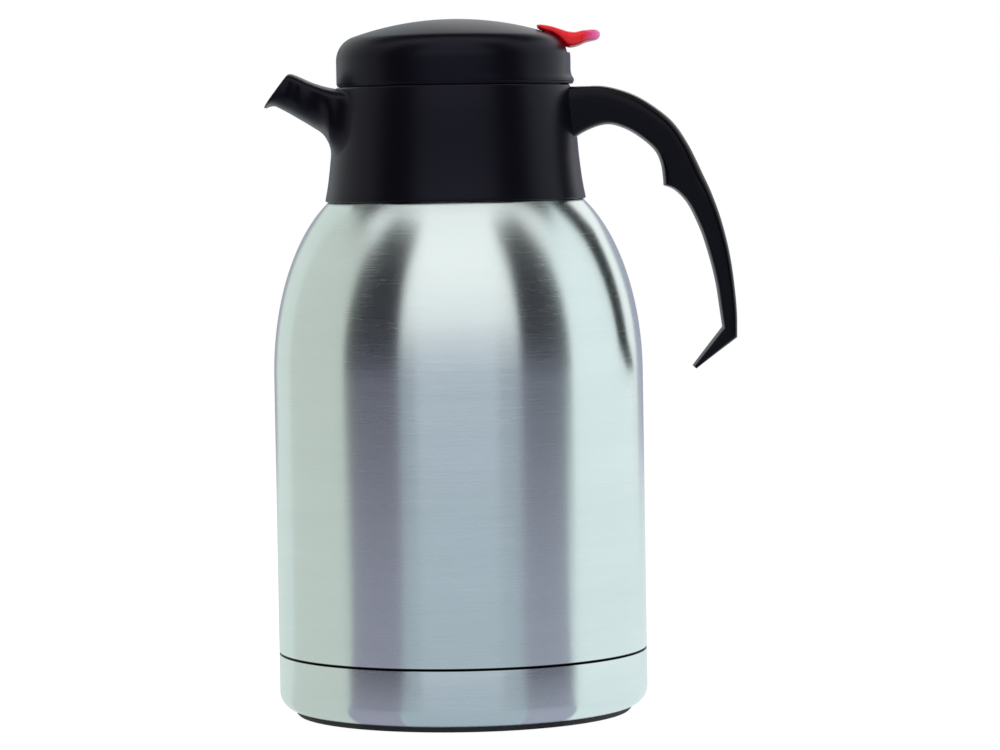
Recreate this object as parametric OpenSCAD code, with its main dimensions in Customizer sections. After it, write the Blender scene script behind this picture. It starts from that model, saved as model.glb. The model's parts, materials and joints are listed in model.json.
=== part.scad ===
// Double-walled vacuum carafe with a hinged pour-through lid and a thumb lever.
// Millimetres. The origin is the centre of the base pad's underside, +Z is up,
// +X points to the handle and -X to the spout.

/* [Steel body] */
// Outside radius of the straight wall
body_r = 70.8; // [66:0.2:76]
// Height of the groove between the outer shell and the base cup
seam_z = 24; // [20:1:30]
// Straight wall above the groove
wall_h = 106; // [90:1:125]
// Height of the shoulder's curve, from the straight wall to its level top
shoulder_rise = 75; // [68:1:82]
// Radius at which the shoulder's curve would turn level
shoulder_axis_r = 30; // [28:0.5:32]
// Sheet thickness of the outer shell
shell_t = 0.6; // [0.5:0.1:0.9]
// Sheet thickness of the inner flask
flask_t = 0.5; // [0.4:0.1:0.8]
// Vacuum space between the outer shell and the inner flask
vacuum_gap = 5.4; // [4:0.2:7]
// Outside radius of the outer shell's neck
neck_r = 37; // [36.4:0.1:37.6]
// Height of the neck above the shoulder
neck_h = 12; // [11:0.5:13]
// Width of the rolled lip round the flask's mouth
lip_w = 2.5; // [2:0.1:3]

/* [Base] */
// Sheet thickness of the base cup
cup_t = 0.8; // [0.6:0.1:1.2]
// Corner radius of the base cup
cup_corner_r = 7; // [5:0.5:9]
// Thickness of the base pad below the cup
pad_h = 2; // [1.5:0.1:3]
// Distance of the pad's edge inside the body's radius
pad_inset = 6.3; // [5:0.1:9]
// Free height between the base cup's floor and the flask's bottom
flask_lift = 13; // [12:0.5:16]

/* [Collar] */
// How much wider the collar is at its lower edge than at its waist
collar_flare = 2.4; // [1.6:0.1:3]
// How much wider the collar is at its waist than at its rim
collar_taper = 2.2; // [1.8:0.1:2.8]
// Height of the flare above the collar's lower edge
collar_flare_h = 17.3; // [14:0.1:20]
// Outside radius of the collar at its rim
collar_top_r = 45.4; // [45.2:0.1:46]
// Height of the collar's rim above the steel lip
collar_rise = 24.3; // [23.5:0.1:25.5]
// Wall of the collar and its spout
collar_t = 2.4; // [2:0.1:2.6]
// Wall of the hub that grips the neck
hub_t = 2.5; // [2:0.1:3]
// Reach of the spout beyond the collar's rim
spout_reach = 27.4; // [25:0.2:30]
// Height of the spout's root below the collar's rim
spout_root_h = 25.7; // [24:0.1:27]
// Half width of the spout at the collar
spout_root_w = 22; // [20:0.5:24]
// Half width of the spout at its mouth
spout_mouth_w = 12; // [11:0.5:13]

/* [Lid] */
// Wall of the domed cover
dome_t = 2; // [1.6:0.1:2.2]
// Height of the dome's straight side above the deck joint
dome_side_h = 9.3; // [8.5:0.1:10]
// Radius of the dome's crown
crown_r = 118; // [112:1:126]
// Radius that blends the crown into the side
crown_blend_r = 9.5; // [8:0.5:11]
// Thickness of the deck's plate
deck_t = 2.2; // [1.8:0.1:2.6]
// Distance of the hinge outside the collar's rim
hinge_out = 3.6; // [3.4:0.1:3.8]
// Drop of the hinge below the collar's rim
hinge_drop = 4.8; // [4.5:0.1:5]
// Radius of the hinge barrel
barrel_r = 3; // [2.8:0.1:3.1]
// Radius of the hinge pin
hinge_pin_r = 1.5; // [1.2:0.1:1.8]
// Half width of the hinge tongue
tongue_w = 9; // [8:0.1:9.6]
// Radius of each cover screw's shank
lid_screw_r = 1.4; // [1.2:0.1:1.6]

/* [Stopper and valve] */
// Step from the lip's outer edge in to the stopper's wall
stopper_step = 1; // [0.6:0.1:2]
// Wall of the stopper
stopper_t = 2; // [1.6:0.1:2.4]
// Radius of the port that the valve closes
port_r = 10; // [8:0.5:11]
// Radius of the valve stem
stem_r = 2.5; // [2:0.1:2.6]
// Number of pour windows in the stopper's front
windows = 3; // [2:1:3]
// Width of each pour window
window_w = 9; // [7:0.5:10]
// Turns of the valve spring
spring_turns = 7; // [5:1:9]
// Radius of the spring's wire
wire_r = 0.5; // [0.4:0.05:0.6]

/* [Thumb lever] */
// Half width of the lever's blade
lever_w = 10; // [8:0.5:10.5]
// Length of the lever's blade
lever_len = 24.2; // [22:0.2:26]
// Distance of the lever's pivot in from the hinge
lever_back = 12.6; // [12.2:0.1:13]
// Height of the lever's pivot above the deck
lever_rise = 17.5; // [17.2:0.1:18]
// Radius of the lever's pin
lever_pin_r = 1.25; // [1:0.05:1.5]
// Radius of the hub round the lever's pin
lever_hub_r = 2.9; // [2.6:0.1:3]
// Radius of the two pads that lift the stem
lift_pad_r = 2; // [1.6:0.1:2.2]

/* [Handle] */
// Half width of the handle at the collar
handle_root_w = 13; // [12.8:0.1:14]
// Half width of the handle at its elbow
handle_elbow_w = 9; // [8:0.5:10]
// Reach of the handle beyond the hinge
handle_reach = 58.2; // [55:0.1:61]
// Drop of the handle's tip below the hinge
handle_drop = 104.8; // [98:0.2:110]
// Radius of the handle screws' shanks
handle_screw_r = 1.5; // [1.3:0.1:1.8]
// Drop of the handle screws below the hinge
handle_screw_drop = 9; // [8.6:0.1:10]

/* [Fits] */
// Radial clearance of a pin or stem that runs in a bore
run_fit = 0.05; // [0.03:0.01:0.08]
// Radial clearance of pieces that are pressed or screwed together
press_fit = 0.02; // [0.01:0.01:0.04]
// Gap between a soft seal and the seat it closes
seal_gap = 0.2; // [0.15:0.05:0.3]
// Free space round parts that swing or slide past each other
free_gap = 0.35; // [0.3:0.05:0.45]

/* [Hidden] */
$fn = 96;

plastic_black = [0.07, 0.07, 0.08];
gloss_black = [0.03, 0.03, 0.035];
steel = [0.74, 0.77, 0.78];
dull_steel = [0.6, 0.62, 0.63];
lever_red = [0.88, 0.02, 0.07];
silicone = [0.82, 0.82, 0.8];
rubber_black = [0.1, 0.1, 0.1];

// Places along the height
shoulder_z = seam_z + wall_h;
shoulder_in = body_r - shoulder_axis_r;
mouth_r = neck_r - lip_w;
collar_waist_r = collar_top_r + collar_taper;
collar_low_r = collar_waist_r + collar_flare;
neck_z = bottle_z(neck_r, 0);
lip_z = neck_z + neck_h;
rim_z = lip_z + collar_rise;
collar_low_z = bottle_z(collar_low_r, 0) + free_gap;
flask_low_z = pad_h + cup_t + flask_lift;

// Height of the shoulder's curve at radius r, for a wall that lies inset inside the outer shell
function bottle_z(r, inset) = shoulder_z + (shoulder_rise - inset)
    * sqrt(1 - pow((r - shoulder_axis_r) / (shoulder_in - inset), 2));

// The shoulder's curve from the straight wall up to radius r_end
function bottle_arc(inset, r_end, steps = 14) = let (
    last = acos((r_end - shoulder_axis_r) / (shoulder_in - inset))
) [for (i = [0:steps]) let (a = last * i / steps) [
    shoulder_axis_r + (shoulder_in - inset) * cos(a),
    shoulder_z + (shoulder_rise - inset) * sin(a)
]];

function reversed(list) = [for (i = [len(list) - 1:-1:0]) list[i]];

// Points of an arc about a centre, from angle a to angle b
function arc(centre, r, a, b, steps = 6) = [for (i = [0:steps])
    let (t = a + (b - a) * i / steps) centre + r * [cos(t), sin(t)]];

module revolve(points) {
    rotate_extrude() polygon(points);
}

module ring(r_in, r_out, z_low, z_high) {
    revolve([[r_in, z_low], [r_out, z_low], [r_out, z_high], [r_in, z_high]]);
}

// A cylinder along Y, centred on the XZ place
module bar_y(place, r, y_low, y_high) {
    translate([place[0], y_high, place[1]]) rotate([90, 0, 0]) cylinder(r = r, h = y_high - y_low);
}

// A flat outline in XZ made into a plate that is centred on Y
module plate_y(points, half_w) {
    translate([0, half_w, 0]) rotate([90, 0, 0]) linear_extrude(2 * half_w) polygon(points);
}

// Outer shell: drawn neck, shoulder and wall, with a skirt joggled in to carry the base cup
groove_h = 0.7;
skirt_r = body_r - cup_t - press_fit;
skirt_low_z = pad_h + cup_corner_r;
function shell_line(inset) = concat(
    [
        [skirt_r - inset, skirt_low_z],
        [skirt_r - inset, seam_z - groove_h / 2],
        [body_r - inset, seam_z + groove_h / 2]
    ],
    bottle_arc(inset, neck_r - inset),
    [[neck_r - inset, lip_z - flask_t]]
);

module outer_shell() {
    color(steel) revolve(concat(shell_line(0), reversed(shell_line(shell_t))));
}

// Inner flask: rounded bottom, wall, shoulder, neck and a lip rolled out over the outer neck
flask_inset = shell_t + vacuum_gap;
flask_corner_r = 12;
function flask_line(inset) = concat(
    [[0, flask_low_z + inset]],
    arc([body_r - flask_inset - flask_corner_r, flask_low_z + flask_corner_r],
        flask_corner_r - inset, -90, 0),
    bottle_arc(flask_inset + inset, mouth_r + flask_t - inset)
);

module inner_flask() {
    color(dull_steel) revolve(concat(
        flask_line(0),
        [
            [mouth_r + flask_t, lip_z - flask_t], [neck_r, lip_z - flask_t],
            [neck_r, lip_z], [mouth_r, lip_z]
        ],
        reversed(flask_line(flask_t))
    ));
}

// Bottom plate: closes the vacuum space, with a rim welded in the skirt and a dimple for the seal
plate_r = skirt_r - shell_t - press_fit;
plate_z = skirt_low_z + 1;
plate_rim_h = 4;
dimple_r = 6;
dimple_h = 1.4;
vent_r = 1;
module bottom_plate() {
    color(dull_steel) revolve([
        [vent_r, plate_z + dimple_h], [dimple_r, plate_z + dimple_h], [dimple_r + dimple_h, plate_z],
        [plate_r, plate_z], [plate_r, plate_z + plate_rim_h],
        [plate_r - shell_t, plate_z + plate_rim_h], [plate_r - shell_t, plate_z + shell_t],
        [dimple_r + dimple_h, plate_z + shell_t], [dimple_r, plate_z + dimple_h + shell_t],
        [vent_r, plate_z + dimple_h + shell_t]
    ]);
}

// Vacuum seal: the bead that plugs the evacuation hole, hidden in the plate's dimple
module vacuum_seal() {
    color(dull_steel) {
        translate([0, 0, plate_z - 0.2]) cylinder(r = dimple_r - 1, h = dimple_h + 0.2);
        translate([0, 0, plate_z]) cylinder(r = vent_r - press_fit, h = dimple_h + shell_t);
    }
}

// Getter: a small capsule fixed under the flask, inside the vacuum
getter_r = 7;
getter_h = 2.5;
module getter() {
    color(dull_steel) translate([20, 0, flask_low_z - getter_h]) cylinder(r = getter_r, h = getter_h);
}

// Base cup: pressed steel cup over the skirt
module base_cup() {
    corner = [body_r - cup_corner_r, pad_h + cup_corner_r];
    color(steel) revolve(concat(
        [[0, pad_h]],
        arc(corner, cup_corner_r, -90, 0, 8),
        [[body_r, seam_z - groove_h / 2], [body_r - cup_t, seam_z - groove_h / 2]],
        reversed(arc(corner, cup_corner_r - cup_t, -90, 0, 8)),
        [[0, pad_h + cup_t]]
    ));
}

// Base pad: one flat disc with a softened edge and two shallow grip grooves
pad_r = body_r - pad_inset;
pad_edge = 0.6;
pad_groove_w = 2;
pad_groove_h = 0.5;
module base_pad() {
    color(rubber_black) difference() {
        revolve([[0, 0], [pad_r - pad_edge, 0], [pad_r, pad_edge], [pad_r, pad_h], [0, pad_h]]);
        for (inset = [10, 20])
            ring(pad_r - inset - pad_groove_w, pad_r - inset, -1, pad_groove_h);
    }
}

// A skin over rings of points, closed by a cap at each end
module skin(rings) {
    sides = len(rings[0]);
    last = len(rings) - 1;
    polyhedron(
        points = [for (one = rings) each one],
        faces = concat(
            [[for (i = [0:sides - 1]) i]],
            [for (k = [0:last - 1], i = [0:sides - 1]) let (j = (i + 1) % sides)
                each [
                    [k * sides + i, (k + 1) * sides + i, (k + 1) * sides + j],
                    [k * sides + i, (k + 1) * sides + j, k * sides + j]
                ]],
            [[for (i = [sides - 1:-1:0]) last * sides + i]]
        )
    );
}

// A rounded section between an upper and a lower place in XZ; square is 1 for an ellipse
function section(upper, lower, half_w, square, sides) = let (
    middle = (upper + lower) / 2,
    reach = (upper - lower) / 2
) [for (i = [0:sides - 1]) let (
    a = 360 * (i + 0.5) / sides,
    u = sign(cos(a)) * pow(abs(cos(a)), square),
    v = sign(sin(a)) * pow(abs(sin(a)), square)
) [middle[0] + reach[0] * u, half_w * v, middle[1] + reach[1] * u]];

// A smooth path through stations, each a list of numbers
function smooth(stations, steps) = let (last = len(stations) - 1) concat(
    [for (k = [0:last - 1], s = [0:steps - 1]) let (
        t = s / steps,
        p0 = stations[max(k - 1, 0)],
        p1 = stations[k],
        p2 = stations[k + 1],
        p3 = stations[min(k + 2, last)]
    ) p1 + 0.5 * t * (p2 - p0) + t * t * (p0 - 2.5 * p1 + 2 * p2 - 0.5 * p3)
        + t * t * t * (1.5 * p1 - 0.5 * p0 - 1.5 * p2 + 0.5 * p3)],
    [stations[last]]
);

// Collar: cone, funnel floor and threaded hub in one moulding
collar_waist_z = collar_low_z + collar_flare_h;
function between(z, z_low, r_low, z_high, r_high) = r_low + (z - z_low) / (z_high - z_low) * (r_high - r_low);
function collar_r(z) = z < collar_waist_z
    ? between(z, collar_low_z, collar_low_r, collar_waist_z, collar_waist_r)
    : between(z, collar_waist_z, collar_waist_r, rim_z, collar_top_r);
edge = 0.6;
function collar_foot_z(r) = bottle_z(r, 0) + free_gap;
collar_edge_z = collar_foot_z(collar_low_r - edge) + edge;
collar_in_r = collar_top_r - collar_t - 0.1;
hub_r = neck_r + hub_t;
hub_low_z = neck_z + 0.7;
hub_top_z = lip_z - 1.4;
funnel_z = lip_z + 3;
module collar_body() {
    revolve([
        [collar_low_r - collar_t, collar_foot_z(collar_low_r - collar_t)],
        [collar_low_r - edge, collar_foot_z(collar_low_r - edge)],
        [collar_r(collar_edge_z), collar_edge_z],
        [collar_waist_r, collar_waist_z],
        [collar_r(rim_z - edge), rim_z - edge], [collar_top_r - edge, rim_z],
        [collar_in_r + edge, rim_z], [collar_in_r, rim_z - edge],
        [collar_in_r, funnel_z], [hub_r, hub_top_z],
        [neck_r + press_fit, hub_top_z], [neck_r + press_fit, hub_low_z],
        [hub_r, hub_low_z], [hub_r, hub_top_z - collar_t - 1],
        [collar_r(funnel_z) - collar_t, funnel_z - collar_t],
        [collar_r(collar_low_z + 4) - collar_t, collar_low_z + 4]
    ]);
}

// Spout stations, measured from the collar's rim: upper x and z, lower x and z, and the width's
// share of the way from the mouth's half width to the root's
spout_line = [
    [7.4, -0.8, 7.4, -28, 1.06], [0.9, -0.4, -1.2, -25.7, 1], [-3.1, 0.4, -2.5, -21.6, 0.82],
    [-6.1, 1.3, -4.6, -17.9, 0.62], [-9.6, 2.6, -8.9, -14.8, 0.44], [-12.8, 4.1, -14.6, -11.3, 0.34],
    [-15.6, 5.3, -20.9, -7.7, 0.06], [-16.8, 5.6, -24.6, -6.6, 0.01], [-17.7, 5.5, -27.4, -7.2, 0]
];
spout_stations = [for (s = spout_line) let (kx = spout_reach / 27.4, kz = spout_root_h / 25.7) [
    s[0] * kx - collar_top_r, rim_z + s[1] * kz, s[2] * kx - collar_top_r, rim_z + s[3] * kz,
    spout_mouth_w + s[4] * (spout_root_w - spout_mouth_w)
]];

// The passage lies inside the spout by the wall; its ends run on past both openings
function passage(station, wall) = let (
    upper = [station[0], station[1]],
    lower = [station[2], station[3]],
    inward = (lower - upper) / norm(lower - upper) * wall
) [upper[0] + inward[0], upper[1] + inward[1], lower[0] - inward[0], lower[1] - inward[1],
    station[4] - wall];

spout_sides = 24;
spout_wall = 1.8;
spout_square = 0.8;
module spout_form(stations) {
    skin([for (s = smooth(stations, 2))
        section([s[0], s[1]], [s[2], s[3]], s[4], spout_square, spout_sides)]);
}

module spout_passage() {
    inner = [for (i = [1:len(spout_stations) - 1]) passage(spout_stations[i], spout_wall)];
    first = inner[0];
    end = inner[len(inner) - 1];
    inside_step = [7, 0, 7, 3, 0];
    outside_step = [-3, 2, -3, 2, 0];
    spout_form(concat([first + inside_step], inner, [end + outside_step]));
}

// Hinge: the lid's tongue runs down through a notch in the rim to a pin held in the handle's ears
hinge = [collar_top_r + hinge_out, rim_z - hinge_drop];
barrel_room = barrel_r + free_gap;
tongue_reach = 11;
module hinge_room() {
    room_w = tongue_w + free_gap;
    translate([hinge[0] - tongue_reach, -room_w, hinge[1] - barrel_room])
        cube([tongue_reach + barrel_room, 2 * room_w, 2 * (barrel_room + hinge_drop)]);
}

handle_screw_z = hinge[1] - handle_screw_drop;
handle_screw_y = 7.5;
handle_screw_len = 17;
screw_head_h = 1.6;
screw_seat_x = collar_in_r + 0.6;
module handle_screw_places() {
    for (side = [-1, 1])
        translate([screw_seat_x, side * handle_screw_y, handle_screw_z]) rotate([0, 90, 0]) children();
}

module collar() {
    color(plastic_black) difference() {
        collar_body();
        spout_passage();
        hinge_room();
        handle_screw_places() {
            translate([0, 0, -5]) cylinder(r = 2 * handle_screw_r + 0.2, h = 5);
            translate([0, 0, -1]) cylinder(r = handle_screw_r + press_fit, h = handle_screw_len);
        }
    }
}

// The room that the collar takes, with a press fit round it, run on above the rim
module collar_room() {
    revolve([
        [0, collar_low_z], [collar_low_r + press_fit, collar_low_z],
        [collar_waist_r + press_fit, collar_waist_z], [collar_top_r + press_fit, rim_z],
        [collar_top_r + press_fit, rim_z + 20], [0, rim_z + 20]
    ]);
}

// Spout: a hooded duct welded to the front of the collar, round the hole in its wall
module spout() {
    color(plastic_black) difference() {
        spout_form(spout_stations);
        spout_passage();
        collar_room();
    }
}

// Collar gasket: lies on the shoulder round the neck, under the hub
module collar_gasket() {
    inner_r = neck_r + 0.1;
    outer_r = hub_r + 0.4;
    color(silicone) revolve([
        [inner_r, bottle_z(inner_r, 0) + press_fit],
        [outer_r, bottle_z(outer_r, 0) + press_fit],
        [outer_r, hub_low_z - press_fit], [inner_r, hub_low_z - press_fit]
    ]);
}

// Handle stations, measured from the hinge: outer x and z, inner x and z, and the width's share
// of the way from the elbow's half width to the root's.
// The outline has a corner where one run meets the next: at the finger stop and at the elbow.
handle_runs = [
    [
        [-6, 3.9, -6, -18, 1], [1, 4, 0.5, -13.6, 1], [9.2, 3.7, 8.9, -10.8, 0.925],
        [18.5, 1, 15.5, -12.1, 0.825], [28, -4.6, 23.2, -16.7, 0.7], [34.6, -10.3, 27.9, -21.2, 0.625],
        [40.4, -19, 30.2, -26.7, 0.575], [43.6, -25.5, 30.8, -31.2, 0.55], [46, -30.8, 31, -34.5, 0.525]
    ], [
        [46, -30.8, 31, -34.5, 0.525], [47.9, -34.9, 34.3, -35.8, 0.5], [50, -40.2, 38.5, -39.5, 0.475],
        [53.1, -49.8, 44, -49.6, 0.375], [55.7, -61.2, 47.6, -60.3, 0.25], [57.4, -74, 50.5, -72.5, 0.125],
        [58.2, -84.5, 51.9, -82.5, 0.025], [58.1, -93.1, 52.8, -89.2, 0]
    ], [
        [58.1, -93.1, 52.8, -89.2, 0], [50.2, -98.9, 47, -96.5, -0.078], [42.3, -104.8, 41.2, -103.9, -0.222]
    ]
];
function handle_width(u) = u < 0 ? handle_elbow_w * (1 + u)
    : handle_elbow_w + u * (handle_root_w - handle_elbow_w);
function handle_place(s) = let (kx = handle_reach / 58.2, kz = handle_drop / 104.8) [
    hinge[0] + s[0] * kx, hinge[1] + s[1] * kz, hinge[0] + s[2] * kx, hinge[1] + s[3] * kz,
    handle_width(s[4])
];
handle_path = [for (run = [0:len(handle_runs) - 1]) let (
    line = smooth([for (s = handle_runs[run]) handle_place(s)], 2)
) for (i = [(run == 0 ? 0 : 1):len(line) - 1]) line[i]];
handle_sides = 20;
handle_square = 0.62;
pin_end_y = handle_root_w - 1.5;
module handle() {
    color(gloss_black) difference() {
        skin([for (s = reversed(handle_path))
            section([s[0], s[1]], [s[2], s[3]], s[4], handle_square, handle_sides)]);
        collar_room();
        hinge_room();
        bar_y(hinge, hinge_pin_r + press_fit, -pin_end_y, handle_root_w + 2);
        handle_screw_places() cylinder(r = handle_screw_r + press_fit, h = handle_screw_len + 1);
    }
}

module handle_screws() {
    color(steel) handle_screw_places() {
        translate([0, 0, -screw_head_h]) difference() {
            cylinder(r = 2 * handle_screw_r, h = screw_head_h);
            translate([0, 0, -1]) cylinder(r = handle_screw_r * 0.8, h = 1.8, $fn = 6);
        }
        cylinder(r = handle_screw_r, h = handle_screw_len);
    }
}

module hinge_pin() {
    color(steel) bar_y(hinge, hinge_pin_r, -pin_end_y + 0.1, pin_end_y);
}

// Lid dome: straight side, blended shoulder and shallow crown, as a shell
dome_r = collar_top_r - 0.5;
dome_low_z = rim_z + 0.9;
dome_side_z = dome_low_z + dome_side_h;
blend_x = dome_r - crown_blend_r;
crown_centre_z = dome_side_z - sqrt(pow(crown_r - crown_blend_r, 2) - blend_x * blend_x);
crown_half = asin(blend_x / (crown_r - crown_blend_r));
function dome_line(inset) = concat(
    arc([blend_x, dome_side_z], crown_blend_r - inset, 0, 90 - crown_half, 8),
    [for (i = [1:8]) let (a = crown_half * (1 - i / 8))
        [(crown_r - inset) * sin(a), crown_centre_z + (crown_r - inset) * cos(a)]]
);
rear_lip_h = 2.1;
rear_lip_shift = 0.8;

module dome_solid(inset, z_low) {
    revolve(concat([[0, z_low], [dome_r - inset, z_low]], dome_line(inset)));
}

// Cover screws stand on a circle, clear of the lever's arm
screw_inset = 6;
module lid_screw_places() {
    for (a = [60, 180, 300]) rotate([0, 0, a]) translate([stopper_in_r - screw_inset, 0, 0]) children();
}

deck_low_z = rim_z - 3.8;
deck_top_z = deck_low_z + deck_t;
lid_screw_len = 10;
module lid_dome() {
    boss_r = 2.3 * lid_screw_r;
    color(plastic_black) difference() {
        union() {
            difference() {
                union() {
                    dome_solid(0, dome_low_z);
                    translate([rear_lip_shift, 0, dome_low_z])
                        cylinder(r = dome_r + 0.6, h = rear_lip_h);
                }
                dome_solid(dome_t, dome_low_z - 1);
            }
            intersection() {
                dome_solid(dome_t / 2, deck_top_z);
                lid_screw_places() translate([0, 0, deck_top_z]) cylinder(r = boss_r, h = 40);
            }
        }
        lid_screw_places() translate([0, 0, deck_top_z - 1])
            cylinder(r = lid_screw_r + press_fit, h = lid_screw_len + 1.5);
        lever_slot();
    }
}

// Thumb lever: a rocker on a pin in the lid, with a forked arm that lifts the valve stem
lever_pivot = [hinge[0] - lever_back, deck_low_z + lever_rise];
slot_gap = 0.4;
module lever_slot() {
    half_w = lever_w + slot_gap;
    translate([lever_pivot[0] - 2.9, -half_w, lever_pivot[1] - 2.4]) cube([40, 2 * half_w, 30]);
}

// Lid deck: a dished plate that plugs the collar, with the hinge tongue, stem guide and lever posts
deck_r = collar_in_r - free_gap - 0.9;
deck_shift = -0.9;
deck_wall_t = 1.8;
dome_seat_r = dome_r - dome_t - 0.1;
oring_wire_r = 0.75;
oring_r = stem_r + 0.3 + oring_wire_r;
oring_room_r = oring_r + oring_wire_r + 0.1;
guide_r = oring_room_r + 1.2;
guide_h = 6.5;
oring_room_h = 1.8;
post_t = 2.2;
post_w = lever_w + 0.4;
post_r = 2.4;
locating_h = 2;
module lid_deck() {
    color(plastic_black) difference() {
        union() {
            translate([deck_shift, 0, deck_low_z]) cylinder(r = deck_r, h = deck_t);
            translate([deck_shift, 0, 0]) ring(deck_r - deck_wall_t, deck_r, deck_low_z, dome_low_z + 0.8);
            ring(deck_r - deck_wall_t - 1.6, dome_seat_r, dome_low_z - 0.2, dome_low_z + 0.8);
            ring(dome_seat_r - 1.5, dome_seat_r, dome_low_z - 0.2, dome_low_z + 3);
            ring(stopper_in_r - 1.5, stopper_in_r - 0.15, deck_low_z - locating_h, deck_low_z + 1);
            cylinder_at(deck_top_z - 1, guide_r, guide_h + 1);
            tongue();
            lever_posts();
        }
        cylinder_at(deck_low_z - 1, stem_r + run_fit, 30);
        cylinder_at(deck_top_z + guide_h - oring_room_h, oring_room_r, 5);
        bar_y(hinge, hinge_pin_r + run_fit, -20, 20);
        bar_y(lever_pivot, lever_pin_r + press_fit, -20, 20);
        lid_screw_places() translate([0, 0, deck_low_z - 1]) cylinder(r = lid_screw_r + press_fit, h = 6);
    }
}

module cylinder_at(z, r, h) {
    translate([0, 0, z]) cylinder(r = r, h = h);
}

// The tongue and the barrel that turns on the hinge pin
module tongue() {
    bar_y(hinge, barrel_r, -tongue_w, tongue_w);
    translate([hinge[0] - tongue_reach, -tongue_w, hinge[1] - 0.6])
        cube([tongue_reach, 2 * tongue_w, barrel_r + 0.6]);
}

module lever_posts() {
    for (side = [-1, 1]) {
        y_low = side > 0 ? post_w : -post_w - post_t;
        bar_y(lever_pivot, post_r, y_low, y_low + post_t);
        translate([lever_pivot[0] - post_r, y_low, deck_top_z - 1])
            cube([2 * post_r, post_t, lever_pivot[1] - deck_top_z + 1]);
    }
}

module lid_screws() {
    head_r = 1.9 * lid_screw_r;
    color(steel) lid_screw_places() {
        translate([0, 0, deck_low_z - 1.6]) difference() {
            cylinder(r = head_r, h = 1.6);
            translate([0, 0, -1]) cylinder(r = lid_screw_r * 0.8, h = 1.9, $fn = 6);
        }
        cylinder_at(deck_low_z, lid_screw_r, lid_screw_len);
    }
}

module lever_pin() {
    color(steel) bar_y(lever_pivot, lever_pin_r, -post_w - post_t, post_w + post_t);
}

// Stopper cup: spigot in the mouth, flange over the lip, wall with pour windows, floor with the port
stopper_r = neck_r - stopper_step;
stopper_in_r = stopper_r - stopper_t;
flange_low_z = lip_z + 1.4;
flange_r = neck_r + 0.3;
flange_t = 2.1;
spigot_r = mouth_r - 3;
spigot_low_z = lip_z - 9.5;
spigot_taper = 1.5;
window_low_z = flange_low_z + flange_t + 2;
window_h = 11;
vent_w = 6;
module stopper_cup() {
    in_r = spigot_r - stopper_t - 1;
    color(plastic_black) difference() {
        revolve([
            [port_r, spigot_low_z], [spigot_r - spigot_taper - edge, spigot_low_z],
            [spigot_r - spigot_taper, spigot_low_z + edge], [spigot_r, flange_low_z],
            [flange_r, flange_low_z], [flange_r, flange_low_z + flange_t],
            [stopper_r, flange_low_z + flange_t], [stopper_r, deck_low_z],
            [stopper_in_r, deck_low_z], [stopper_in_r, flange_low_z + flange_t],
            [in_r, flange_low_z], [in_r, spigot_low_z + stopper_t], [port_r, spigot_low_z + stopper_t]
        ]);
        for (i = [0:windows - 1]) rotate([0, 0, 180 + (i - (windows - 1) / 2) * 24])
            translate([stopper_in_r - 2 * stopper_t, -window_w / 2, window_low_z])
                cube([4 * stopper_t, window_w, window_h]);
        translate([stopper_in_r - 2 * stopper_t, -vent_w / 2, deck_low_z - locating_h - 5])
            cube([4 * stopper_t, vent_w, 4]);
    }
}

module stopper_seal() {
    color(silicone) ring(spigot_r + 0.3, flange_r - 0.1, lip_z + seal_gap, flange_low_z);
}

// Valve: stem with a backing flange, a silicone disc on the port, and a clip above the fork
disc_low_z = spigot_low_z + stopper_t + seal_gap;
disc_t = 2;
disc_r = port_r + 2.5;
back_t = 1.3;
back_r = disc_r - 1.5;
fork_z = deck_low_z + 13.5;
clip_z = fork_z + lift_pad_r + 0.08;
clip_t = 1.2;
stem_top_z = clip_z + clip_t + 1;
tip_h = 2.6;
groove_depth = 0.4;
module valve_stem() {
    color(silicone) difference() {
        union() {
            cylinder_at(disc_low_z - tip_h, stem_r, stem_top_z - disc_low_z + tip_h);
            revolve([
                [0, disc_low_z - tip_h], [stem_r, disc_low_z - tip_h], [stem_r + 1, disc_low_z - 0.6],
                [stem_r + 1, disc_low_z], [0, disc_low_z]
            ]);
            cylinder_at(disc_low_z + disc_t, back_r, back_t);
        }
        ring(stem_r - groove_depth, stem_r + 1, clip_z - 0.05, clip_z + clip_t + 0.05);
    }
}

module valve_disc() {
    color(silicone) difference() {
        cylinder_at(disc_low_z, disc_r, disc_t);
        cylinder_at(disc_low_z - 1, stem_r + press_fit, disc_t + 2);
    }
}

module stem_clip() {
    clip_r = stem_r + 3;
    color(steel) difference() {
        ring(stem_r - groove_depth + press_fit, clip_r, clip_z, clip_z + clip_t);
        translate([0, -1.4, clip_z - 1]) cube([clip_r + 1, 2.8, clip_t + 2]);
    }
}

module stem_oring() {
    z = deck_top_z + guide_h - oring_room_h + oring_wire_r + press_fit;
    color(rubber_black) rotate_extrude() translate([oring_r, z]) circle(r = oring_wire_r);
}

// Valve spring: a coil from the stem's backing flange up to the deck
spring_r = 6;
spring_low_z = disc_low_z + disc_t + back_t;
module valve_spring() {
    sides = 6;
    per_turn = 12;
    low = spring_low_z + wire_r + 0.05;
    high = deck_low_z - wire_r - 0.05;
    count = spring_turns * per_turn;
    color(steel) skin([for (k = [0:count]) let (
        turn = 360 * k / per_turn,
        z = low + (high - low) * k / count
    ) [for (i = [0:sides - 1]) let (
        a = -360 * i / sides,
        r = spring_r + wire_r * cos(a)
    ) [r * cos(turn), r * sin(turn), z + wire_r * sin(a)]]]);
}

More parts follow.
